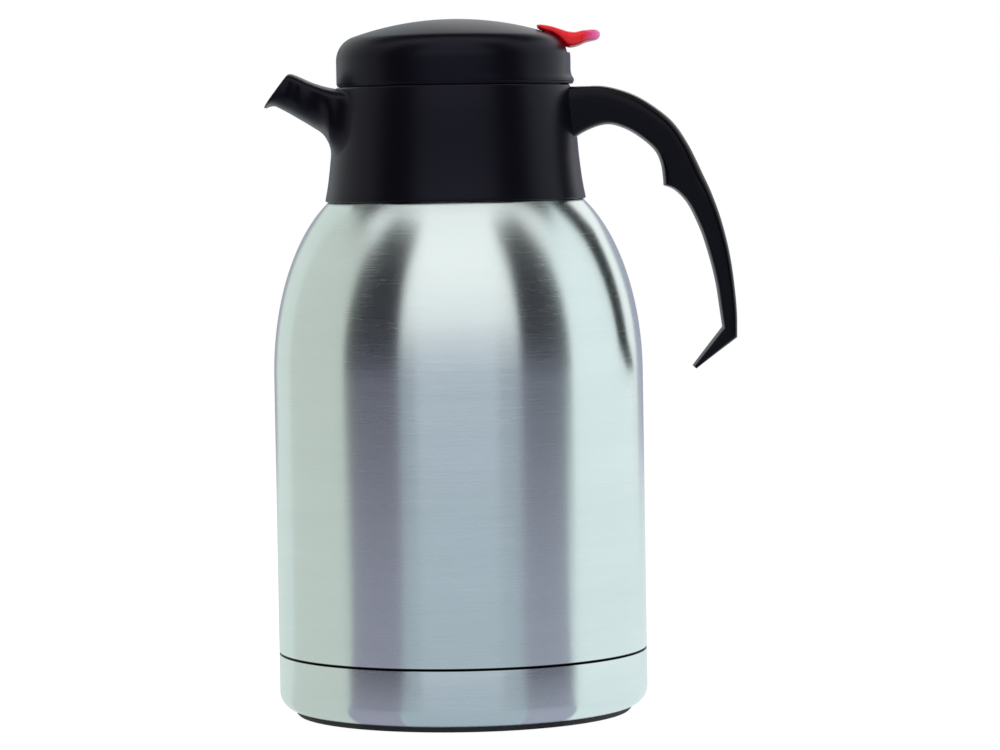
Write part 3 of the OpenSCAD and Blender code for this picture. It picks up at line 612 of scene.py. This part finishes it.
def combine(obj, bm_tool, operation="DIFFERENCE"):
    """Cuts a tool shape away from obj, or joins it on, and applies the result."""
    tool = mesh_object(bm_tool, "tool")
    step = obj.modifiers.new("step", "BOOLEAN")
    step.object = tool
    step.operation = operation
    step.solver = "EXACT"
    bpy.context.view_layer.update()
    graph = bpy.context.evaluated_depsgraph_get()
    result = bpy.data.meshes.new_from_object(obj.evaluated_get(graph))
    obj.modifiers.clear()
    obj.data = result
    bpy.data.objects.remove(tool)


def dress(obj, slot, body, replaced, crease=32):
    """Gives a finished piece its shading, material, body and the frame nodes it stands for."""
    mesh = obj.data
    mesh.materials.clear()
    mesh.materials.append(finishes[slot])
    mesh.shade_smooth()
    mesh.set_sharp_from_angle(angle=math.radians(crease))
    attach(obj, body)
    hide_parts(*replaced)
    size = [round(d / MM, 1) for d in obj.dimensions]
    print(obj.name, "faces:", len(mesh.polygons), "size in mm:", size)


# %% [markdown]
# ## Tools for cutting and joining
# Blocks and rods are the drills, files and plugs of this model. Their limits are given in mm.

# %% Blocks, rods and arcs
def box_tool(x, y, z):
    """A block between two limits on each axis, in mm."""
    bm = bmesh.new()
    bmesh.ops.create_cube(bm, size=1)
    for vert in bm.verts:
        vert.co = Vector([limits[vert.co[axis] > 0] for axis, limits in enumerate((x, y, z))]) * MM
    return bm


def rod_tool(centre, radius, length, axis, segments=48):
    """A rod centred on a place in mm, along X, Y or Z."""
    turn = {"X": Matrix.Rotation(math.pi / 2, 4, "Y"), "Y": Matrix.Rotation(math.pi / 2, 4, "X"),
            "Z": Matrix.Identity(4)}[axis]
    bm = bmesh.new()
    bmesh.ops.create_cone(bm, cap_ends=True, segments=segments, radius1=radius * MM, radius2=radius * MM,
                          depth=length * MM, matrix=Matrix.Translation(Vector(centre) * MM) @ turn)
    return bm


def arc_points(centre, radius, start, end, steps):
    """Points of an arc in the profile plane, from angle start to angle end in degrees."""
    angles = [math.radians(start + (end - start) * i / steps) for i in range(steps + 1)]
    return [(centre[0] + radius * math.cos(a), centre[1] + radius * math.sin(a)) for a in angles]


# %% [markdown]
# ## Smooth paths through sections
# A loft needs only a few sections, drawn where the outline turns. Hermite curves fill in between.
# Their slopes are weighed by the distance to each neighbour, or closely spaced sections would ripple.

# %% Smooth path and rounded section
def smooth_run(stations, steps):
    """A smooth path through unevenly spaced stations, as a list of finer stations."""
    count = len(stations)
    gaps = [math.dist(stations[k][:4], stations[k + 1][:4]) for k in range(count - 1)]
    slopes = [[(b - a) / gap for a, b in zip(stations[k], stations[k + 1])] for k, gap in enumerate(gaps)]
    speeds = [slopes[0]]
    for before, after, near, far in zip(slopes, slopes[1:], gaps, gaps[1:]):
        speeds.append([(u * far + v * near) / (near + far) for u, v in zip(before, after)])
    speeds.append(slopes[-1])
    fine = []
    for k, gap in enumerate(gaps):
        for n in range(steps):
            t = n / steps
            from_start, leaving = 2 * t**3 - 3 * t**2 + 1, (t**3 - 2 * t**2 + t) * gap
            to_end, arriving = 3 * t**2 - 2 * t**3, (t**3 - t**2) * gap
            fine.append([from_start * a + leaving * u + to_end * b + arriving * v for a, b, u, v in zip(
                stations[k], stations[k + 1], speeds[k], speeds[k + 1])])
    return fine + [list(stations[-1])]


def section_point(station, angle, squareness):
    """The point at an angle on the rounded section of (upper x, z, lower x, z, half width)."""
    upper_x, upper_z, lower_x, lower_z, half_width = station
    c, s = math.cos(angle), math.sin(angle)
    u = math.copysign(abs(c) ** squareness, c)
    v = math.copysign(abs(s) ** squareness, s)
    return ((upper_x + lower_x) / 2 + (upper_x - lower_x) / 2 * u, half_width * v,
            (upper_z + lower_z) / 2 + (upper_z - lower_z) / 2 * u)


# %% [markdown]
# ## Steel body
# The outer shell is one drawn tube: a straight wall, a shoulder that curves in like an ellipse, and
# a neck that the collar hides. Below, its edge steps in so that the pressed base cup slides over
# it, which leaves the thin groove round the foot; the groove's dark ring is painted shade in the
# steel's finish. Both are turned from their wall's outline.

# %% Outer shell
body_r, cup_wall, shell_wall = 70.8, 0.8, 0.6
shoulder_z, shoulder_rise, shoulder_axis = 130.0, 75.0, 30.0
neck_r, lip_z, pad_h, cup_corner = 37.0, 215.888, 2.0, 7.0
groove = 0.35
skirt_r = body_r - cup_wall - 0.02


def shell_line(inset):
    """Outer line of the shell from its skirt to its neck, moved in by inset."""
    reach = body_r - shoulder_axis - inset
    last = math.degrees(math.acos((neck_r - inset - shoulder_axis) / reach))
    circle = arc_points((shoulder_axis, 0), reach, 0, last, 64)
    shoulder = [(r, shoulder_z + (shoulder_rise - inset) * z / reach) for r, z in circle]
    return [(skirt_r - inset, pad_h + cup_corner), (skirt_r - inset, seam_z - groove),
            (body_r - inset, seam_z + groove)] + shoulder + [(neck_r - inset, lip_z - 0.5)]


bottle = mesh_object(turned(shell_line(0) + shell_line(shell_wall)[::-1], rounds={2: 0.25}, steps=192),
                     "bottle_shell")
dress(bottle, "brushed_body", "carafe", ["outer_shell"])

# %% Base cup
corner_centre = (body_r - cup_corner, pad_h + cup_corner)
cup_side = [(0, pad_h)] + arc_points(corner_centre, cup_corner, -90, 0, 20)
cup_inside = arc_points(corner_centre, cup_corner - cup_wall, 0, -90, 20) + [(0, pad_h + cup_wall)]
cup_rim = [(body_r, seam_z - groove), (body_r - cup_wall, seam_z - groove)]
cup = mesh_object(turned(cup_side + cup_rim + cup_inside, rounds={len(cup_side): 0.2}, steps=192), "foot_cup")
dress(cup, "brushed_body", "carafe", ["base_cup"])

# %% [markdown]
# ## Collar
# The collar is a moulded ring that grips the neck. Its side is a slim cone that flares to a soft
# lip over the shoulder, with a rounded upper edge. Inside, a funnel floor runs down to the steel
# lip. A hole in front leads to the spout, and a notch at the back lets the lid's tongue through.

# %% Collar
rim_z, collar_top_r, collar_bore = 240.188, 45.4, 42.9
waist_r, waist_z = 47.6, 213.02
collar_side = [(49.95, 196.95), (49.75, 198.2), (49.3, 200.4), (48.88, 202.8), (48.5, 205.4),
               (48.15, 208.2), (47.85, 210.9), (47.55, 213.6)]


def collar_radius(z):
    """Radius of the collar's side at a height above its waist, and of its flare below that."""
    if z >= waist_z:
        return waist_r + (min(z, rim_z) - waist_z) / (rim_z - waist_z) * (collar_top_r - waist_r)
    for (r_low, z_low), (r_high, z_high) in zip(collar_side, collar_side[1:]):
        if z <= z_high:
            return r_low + (z - z_low) / (z_high - z_low) * (r_high - r_low)
    return waist_r


collar_line = [(47.6, 198.0), (49.4, 196.35)] + collar_side + [
    (collar_radius(220), 220), (collar_radius(230), 230), (collar_top_r, rim_z),
    (collar_bore, rim_z), (collar_bore, 218.888), (39.5, 214.488), (37.02, 214.488), (37.02, 204.588),
    (39.5, 204.588), (39.5, 211.088), (44.72, 216.49), (47.05, 199.72)]
collar_rounds = {1: 0.5, 2: 0.35, 12: 0.9, 13: 0.5}
collar = mesh_object(turned(collar_line, rounds=collar_rounds, steps=192), "collar_ring")

# %% Collar's notch and screw seats
hinge = (49.0, 235.388)
barrel_room, tongue_room, notch_reach, notch_rise = 3.35, 9.35, 11, 13
screw_x, screw_y, screw_z = 43.4, 7.5, hinge[1] - 9
screw_head_r, seat_depth = 3.2, 5


def hinge_notch():
    """The room in which the lid's tongue and barrel swing."""
    return box_tool((hinge[0] - notch_reach, hinge[0] + barrel_room), (-tongue_room, tongue_room),
                    (hinge[1] - barrel_room, hinge[1] + notch_rise))


combine(collar, hinge_notch())
for side in (-1, 1):
    combine(collar, rod_tool((screw_x, side * screw_y, screw_z), screw_head_r, seat_depth, "X"))
print("hinge at x, z in mm:", hinge)

# %% [markdown]
# ## Spout
# The spout is a hooded duct that grows out of the collar. Its sides run into the collar in a soft
# hollow curve, and its mouth is cut off on a slant with a small drip edge at the tip. The outside
# rows are found where each line of the loft meets the collar, so no gap shows at the seam.

# %% Spout rows
spout_line = [
    (-38, -0.8, -38, -28, 22.6), (-44.5, -0.4, -46.6, -25.7, 22), (-48.5, 0.4, -47.9, -21.6, 20.2),
    (-51.5, 1.3, -50, -17.9, 18.2), (-55, 2.6, -54.3, -14.8, 16.4), (-58.2, 4.1, -60, -11.3, 15.4),
    (-61, 5.3, -66.3, -7.7, 12.6), (-61.8, 5.55, -68.9, -6.55, 12.2), (-62.6, 5.6, -71.1, -6.95, 12.05),
    (-62.9, 5.55, -72.1, -7.3, 12), (-63.1, 5.5, -72.75, -7.15, 12)]
spout_rows = smooth_run([(a, rim_z + b, c, rim_z + d, w) for a, b, c, d, w in spout_line], 6)
spout_square, hood_square, spout_wall, spout_around = 0.78, 0.5, 1.8, 72


def thinner(station, wall):
    """The same section with a wall taken off all round."""
    upper, lower = Vector(station[:2]), Vector(station[2:4])
    inward = (lower - upper).normalized() * wall
    return (*(upper + inward), *(lower - inward), station[4] - wall)


def spout_point(t, angle, wall=0.0):
    """A point of the spout's loft, t counted in rows from the root."""
    k = min(int(t), len(spout_rows) - 2)
    mixed = [a + (t - k) * (b - a) for a, b in zip(spout_rows[k], spout_rows[k + 1])]
    squareness = spout_square if math.cos(angle) < 0 else hood_square
    return Vector(section_point(thinner(mixed, wall) if wall else mixed, angle, squareness))


# %% Where the spout leaves the collar
def leaves_collar(angle, wall=0.0, sunk=0.25):
    """The row at which the loft's line at this angle comes out of the collar's side."""
    low, high = 0.0, float(len(spout_rows) - 1)
    for _ in range(24):
        middle = (low + high) / 2
        spot = spout_point(middle, angle, wall)
        if math.hypot(spot.x, spot.y) < collar_radius(spot.z) - sunk:
            low = middle
        else:
            high = middle
    return high


spout_angles = [2 * math.pi * (i + 0.5) / spout_around for i in range(spout_around)]
root_out = [leaves_collar(angle) for angle in spout_angles]
root_in = [leaves_collar(angle, spout_wall) for angle in spout_angles]
print("the spout leaves the collar at rows", round(min(root_out), 1), "to", round(max(root_out), 1))

# %% Hollow blend at the root
blend_reach = 6.5
mouth_t = len(spout_rows) - 1.0


def blend_length(angle):
    """How many rows of the loft the hollow curve takes up at this angle."""
    return 1.2 + 0.85 * blend_reach * max(abs(math.sin(angle)), 0.55 * max(0.0, -math.cos(angle)))


def blend_curve(i, share):
    """The hollow curve from the collar's side to the spout's side, share from 0 to 1."""
    angle = spout_angles[i]
    seam = spout_point(root_out[i], angle)
    sideways = math.sin(angle)
    downward = max(0.0, -math.cos(angle))
    y = seam.y + blend_reach * sideways * abs(sideways) ** 0.4
    z = min(seam.z - 0.5 * blend_reach * downward, rim_z - 0.5)
    r = collar_radius(z) - 0.1
    start = Vector((-math.sqrt(max(r * r - y * y, 0)), y, z))
    after = spout_point(min(root_out[i] + blend_length(angle), mouth_t), angle)
    return (1 - share) ** 2 * start + 2 * share * (1 - share) * seam + share * share * after


# %% Spout's wall
blend_rows, tube_rows, inner_rows = 8, 26, 16
mouth_edge = 0.35


def spout_place(i, k):
    """The place of step i round row k: blend, outside, mouth edge, then back through the duct."""
    angle = spout_angles[i]
    if k <= blend_rows:
        return blend_curve(i, k / blend_rows)
    k -= blend_rows
    if k <= tube_rows:
        start = min(root_out[i] + blend_length(angle), mouth_t)
        share = k / tube_rows
        return spout_point(start + (mouth_t - mouth_edge - start) * share, angle)
    k -= tube_rows
    if k == 1:
        return spout_point(mouth_t, angle, mouth_edge)
    if k == 2:
        return spout_point(mouth_t, angle, spout_wall - mouth_edge)
    share = (k - 3) / inner_rows
    return spout_point(mouth_t - mouth_edge + (root_in[i] - mouth_t + mouth_edge) * share, angle, spout_wall)


spout_count = blend_rows + tube_rows + 3 + inner_rows
spout_bm = wrapped(spout_around, spout_count, spout_place, cap_ends=False)
open_edges = [edge for edge in spout_bm.edges if edge.is_boundary]
bmesh.ops.bridge_loops(spout_bm, edges=open_edges)
bmesh.ops.recalc_face_normals(spout_bm, faces=spout_bm.faces)
spout = mesh_object(spout_bm, "spout_duct")
dress(spout, "matte_black", "carafe", ["spout"], crease=40)

# %% Duct through the collar
duct_start, duct_rows = 6, 13


def duct_place(i, k):
    """The duct's solid, which cuts the hole in the collar, run on past the wall inside."""
    angle = spout_angles[i]
    if k == 0:
        return spout_point(duct_start, angle, spout_wall) + Vector((8, 0, 2))
    share = (k - 1) / (duct_rows - 1)
    return spout_point(duct_start + (mouth_t - duct_start) * share, angle, spout_wall)


combine(collar, wrapped(spout_around, duct_rows, duct_place))
dress(collar, "matte_black", "carafe", ["collar"])

# %% [markdown]
# ## Handle
# The handle is one solid grip in glossy black. Seen from the side its outline has crisp corners:
# the stop for the forefinger, the elbow, and the hooked tip. The loft runs smoothly between the
# corners and keeps them sharp, and its inner face is flatter than its back. At its root the collar's
# room is cut away, so that the two touch all round without running into each other.

# %% Handle's outline
handle_runs = [
    [(-6, 3.9, -6, -18, 1), (1, 4, 0.5, -13.6, 1), (9.2, 3.7, 8.9, -10.8, 0.925),
     (18.5, 1, 15.5, -12.1, 0.825), (28, -4.6, 23.2, -16.7, 0.7), (34.6, -10.3, 27.9, -21.2, 0.625),
     (40.4, -19, 30.2, -26.7, 0.575), (43.6, -25.5, 30.8, -31.2, 0.55), (46, -30.8, 31, -34.5, 0.525)],
    [(46, -30.8, 31, -34.5, 0.525), (47.9, -34.9, 34.3, -35.8, 0.5), (50, -40.2, 38.5, -39.5, 0.475),
     (53.1, -49.8, 44, -49.6, 0.375), (55.7, -61.2, 47.6, -60.3, 0.25), (57.4, -74, 50.5, -72.5, 0.125),
     (58.15, -84.5, 51.9, -82.5, 0.025), (58.1, -93.1, 52.8, -89.2, 0)],
    [(58.1, -93.1, 52.8, -89.2, 0), (50.2, -98.9, 47, -96.5, -0.078), (42.3, -104.8, 41.2, -103.9, -0.222)]]
root_half, elbow_half = 13.0, 9.0
handle_rows = []
for run in handle_runs:
    run = [(hinge[0] + a, hinge[1] + b, hinge[0] + c, hinge[1] + d,
            elbow_half * (1 + w) if w < 0 else elbow_half + w * (root_half - elbow_half))
           for a, b, c, d, w in run]
    fine = smooth_run(run, 6)
    handle_rows += fine if not handle_rows else fine[1:]
print("handle rows:", len(handle_rows))

# %% Handle
handle_around = 56
back_square, inner_square, hinge_square = 0.46, 0.36, 0.28


def handle_place(i, k):
    """A rounded section with a rounder back and a flatter, squarer inside, square at the hinge."""
    angle = 2 * math.pi * (i + 0.5) / handle_around
    from_hinge = min(max((handle_rows[k][0] - hinge[0] - 3) / 14, 0), 1)
    back = hinge_square + (back_square - hinge_square) * from_hinge
    return section_point(handle_rows[k], angle, back if math.cos(angle) > 0 else inner_square)


handle = mesh_object(wrapped(handle_around, len(handle_rows) - 1, handle_place), "handle_grip")
room_low, room_high, room_fit = 190, 262, 0.02
room_side = [(r + 0.05, z) for r, z in [(50.2, room_low)] + collar_side]
room_top = [(waist_r + room_fit, waist_z + 1), (collar_top_r + room_fit, rim_z),
            (collar_top_r + room_fit, room_high)]
combine(handle, turned([(0, room_low)] + room_side + room_top + [(0, room_high)], steps=192))
combine(handle, hinge_notch())
dress(handle, "gloss_black", "carafe", ["handle"], crease=38)

# %% [markdown]
# ## Lid cover
# The cover is a thin moulded dome: a low crown that rolls over into straight sides. A lip at its
# lower edge sticks out at the back, over the hinge, and dies away towards the front. Three bosses
# inside take the screws, and a slot at the back lets the thumb lever out.

# %% Cover's outline
dome_r, dome_wall, dome_low, dome_side = 44.9, 2.0, 241.088, 250.388
crown_r, crown_blend = 118.0, 9.5
blend_x = dome_r - crown_blend
crown_centre = dome_side - math.sqrt((crown_r - crown_blend) ** 2 - blend_x ** 2)
crown_half = math.degrees(math.asin(blend_x / (crown_r - crown_blend)))


def dome_line(inset):
    """Outline of the cover from its side over the crown to the axis, moved in by inset."""
    roll = arc_points((blend_x, dome_side), crown_blend - inset, 0, 90 - crown_half, 14)
    crown = arc_points((0, crown_centre), crown_r - inset, 90 - crown_half, 90, 20)
    return roll + crown[1:-1] + [(0, crown[-1][1])]


lip_flare = [(0, 1.15), (1.0, 1.2), (1.7, 0.95), (2.3, 0.5), (3.2, 0.18), (4.4, 0.0)]
step_in, step_down = 0.3, 0.6
cover_line = ([(dome_r, dome_low + up) for up, _ in lip_flare] + dome_line(0) + dome_line(dome_wall)[::-1]
              + [(dome_r - dome_wall, dome_low - step_down), (dome_r - step_in, dome_low - step_down),
                 (dome_r - step_in, dome_low)])
print("points in the cover's outline:", len(cover_line))

# %% Dome with the rear lip
cover_bm = turned(cover_line, rounds={0: 0.35, len(cover_line) - 2: 0.15}, steps=192)
flare_depth, flare_top = 0.45, lip_flare[-1][0]
for vert in cover_bm.verts:
    r, up = math.hypot(vert.co.x, vert.co.y) / MM, vert.co.z / MM - dome_low
    if r > dome_r - flare_depth and up < flare_top:
        toward_back = max(0.0, vert.co.x / MM / r)
        for (low_up, low_out), (high_up, high_out) in zip(lip_flare, lip_flare[1:]):
            if up <= high_up:
                out = low_out + (max(up, 0) - low_up) / (high_up - low_up) * (high_out - low_out)
                break
        grown = (r + out * toward_back ** 2) / r
        vert.co.x *= grown
        vert.co.y *= grown
cover = mesh_object(cover_bm, "lid_cover")

# %% Screw bosses and the lever's slot
screw_circle, deck_top = 28.0, 238.588
boss_r, boss_h, bore_r, bore_h, bore_up = 3.22, 22.6, 1.42, 12, 4.5
for turn in (60, 180, 300):
    x, y = screw_circle * math.cos(math.radians(turn)), screw_circle * math.sin(math.radians(turn))
    combine(cover, rod_tool((x, y, deck_top + boss_h / 2), boss_r, boss_h, "Z"), "UNION")
    combine(cover, rod_tool((x, y, deck_top + bore_up), bore_r, bore_h, "Z", 32))
lever_pivot = (36.4, 253.888)
lever_half, slot_gap, slot_drop, slot_front, slot_reach = 10.0, 0.4, 1.6, 2.9, 20
slot_half = lever_half + slot_gap
combine(cover, box_tool((lever_pivot[0] - slot_front, lever_pivot[0] + slot_reach),
                        (-slot_half, slot_half),
                        (lever_pivot[1] - slot_drop, lever_pivot[1] + slot_reach)))
dress(cover, "matte_black", "lid", ["lid_dome"], crease=36)

# %% [markdown]
# ## Thumb lever
# The red lever is one moulding: a tongue-shaped blade for the thumb, a hub for its pin, and a
# forked arm inside the lid that lifts the valve stem. The blade is lofted with rounded edges and
# narrows to a round tail. The other parts are joined to it.

# %% Blade's outline
blade_line = [(-4.2, 8.95, -4.2, 8.7, 5.6), (-4.0, 9.15, -3.9, 8.0, 7.6), (-3.4, 9.2, -3.3, 7.6, 9),
              (-1.9, 9.1, -1.9, 6.7, 9.8), (1.9, 8.3, 1.2, 5.7, 10), (5.8, 7, 4.5, 3.4, 10),
              (8.2, 6.35, 6.9, 0.75, 10), (10.2, 6.15, 8.6, 0.35, 10), (12.8, 6.7, 11.4, 0.9, 9.6),
              (15.6, 6.95, 14.4, 2.15, 8.6), (17.5, 7, 17, 2.75, 7.2), (18.8, 6.75, 18.6, 3.15, 5.6),
              (19.6, 6.1, 19.4, 3.75, 3.6), (19.95, 5.3, 19.85, 4.6, 1.4)]
blade_rows = smooth_run([(lever_pivot[0] + a, lever_pivot[1] + b, lever_pivot[0] + c, lever_pivot[1] + d, w)
                         for a, b, c, d, w in blade_line], 4)
print("blade rows:", len(blade_rows))

# %% Blade and plates
blade_around, blade_square = 48, 0.45


def blade_place(i, k):
    """A section of the blade: flat on top and below, with round edges."""
    angle = 2 * math.pi * (i + 0.5) / blade_around
    return section_point(blade_rows[k], angle, blade_square)


def plate(outline, half_width, edge=0.5):
    """A side outline in mm made as thick as twice half_width, with its rims rounded."""
    bm = bmesh.new()
    ring = [bm.verts.new((x * MM, -half_width * MM, z * MM)) for x, z in outline]
    face = bm.faces.new(ring)
    moved = bmesh.ops.extrude_face_region(bm, geom=[face])["geom"]
    bmesh.ops.translate(bm, verts=[v for v in moved if isinstance(v, bmesh.types.BMVert)],
                        vec=(0, 2 * half_width * MM, 0))
    rims = [e for e in bm.edges if abs(e.verts[0].co.y - e.verts[1].co.y) < 0.01 * MM]
    bmesh.ops.bevel(bm, geom=rims, offset=edge * MM, offset_type="OFFSET", segments=3, profile=0.5,
                    affect="EDGES", clamp_overlap=True, material=-1)
    bmesh.ops.recalc_face_normals(bm, faces=bm.faces)
    return bm


lever = mesh_object(wrapped(blade_around, len(blade_rows) - 1, blade_place), "thumb_lever_blade")

# %% Thumb lever
pin_x, pin_z = lever_pivot
fork_z, fork_gap, fork_half, fork_cut = 249.888, 3.2, 5.5, 10
hub_r, hub_len, pad_r = 2.9, 2 * lever_half - 0.8, 2
pin_bore, pin_bore_len = 1.3, 40
web = [(pin_x - 1.4, pin_z + 1), (pin_x + 3, pin_z - 2), (pin_x + 7, pin_z + 0.6),
       (pin_x + 4.6, pin_z + 3.6), (pin_x + 0.4, pin_z + 6.4), (pin_x - 1.4, pin_z + 7.3)]
arm = [(0, fork_z - 1.3), (pin_x - 2, pin_z - 2), (pin_x - 1, pin_z + 2), (6, fork_z + 1.9),
       (0, fork_z + 1.3)]
combine(lever, plate(web, lever_half - 2), "UNION")
combine(lever, rod_tool((pin_x, 0, pin_z), hub_r, hub_len, "Y"), "UNION")
combine(lever, plate(arm, fork_half, 0.4), "UNION")
combine(lever, rod_tool((0, 0, fork_z), pad_r, 2 * fork_half, "Y"), "UNION")
combine(lever, rod_tool((pin_x, 0, pin_z), pin_bore, pin_bore_len, "Y", 32))
combine(lever, box_tool((-fork_cut, fork_gap + 3), (-fork_gap, fork_gap),
                        (fork_z - fork_cut, fork_z + fork_cut)))
dress(lever, "red_plastic", "lever", ["thumb_lever"], crease=34)
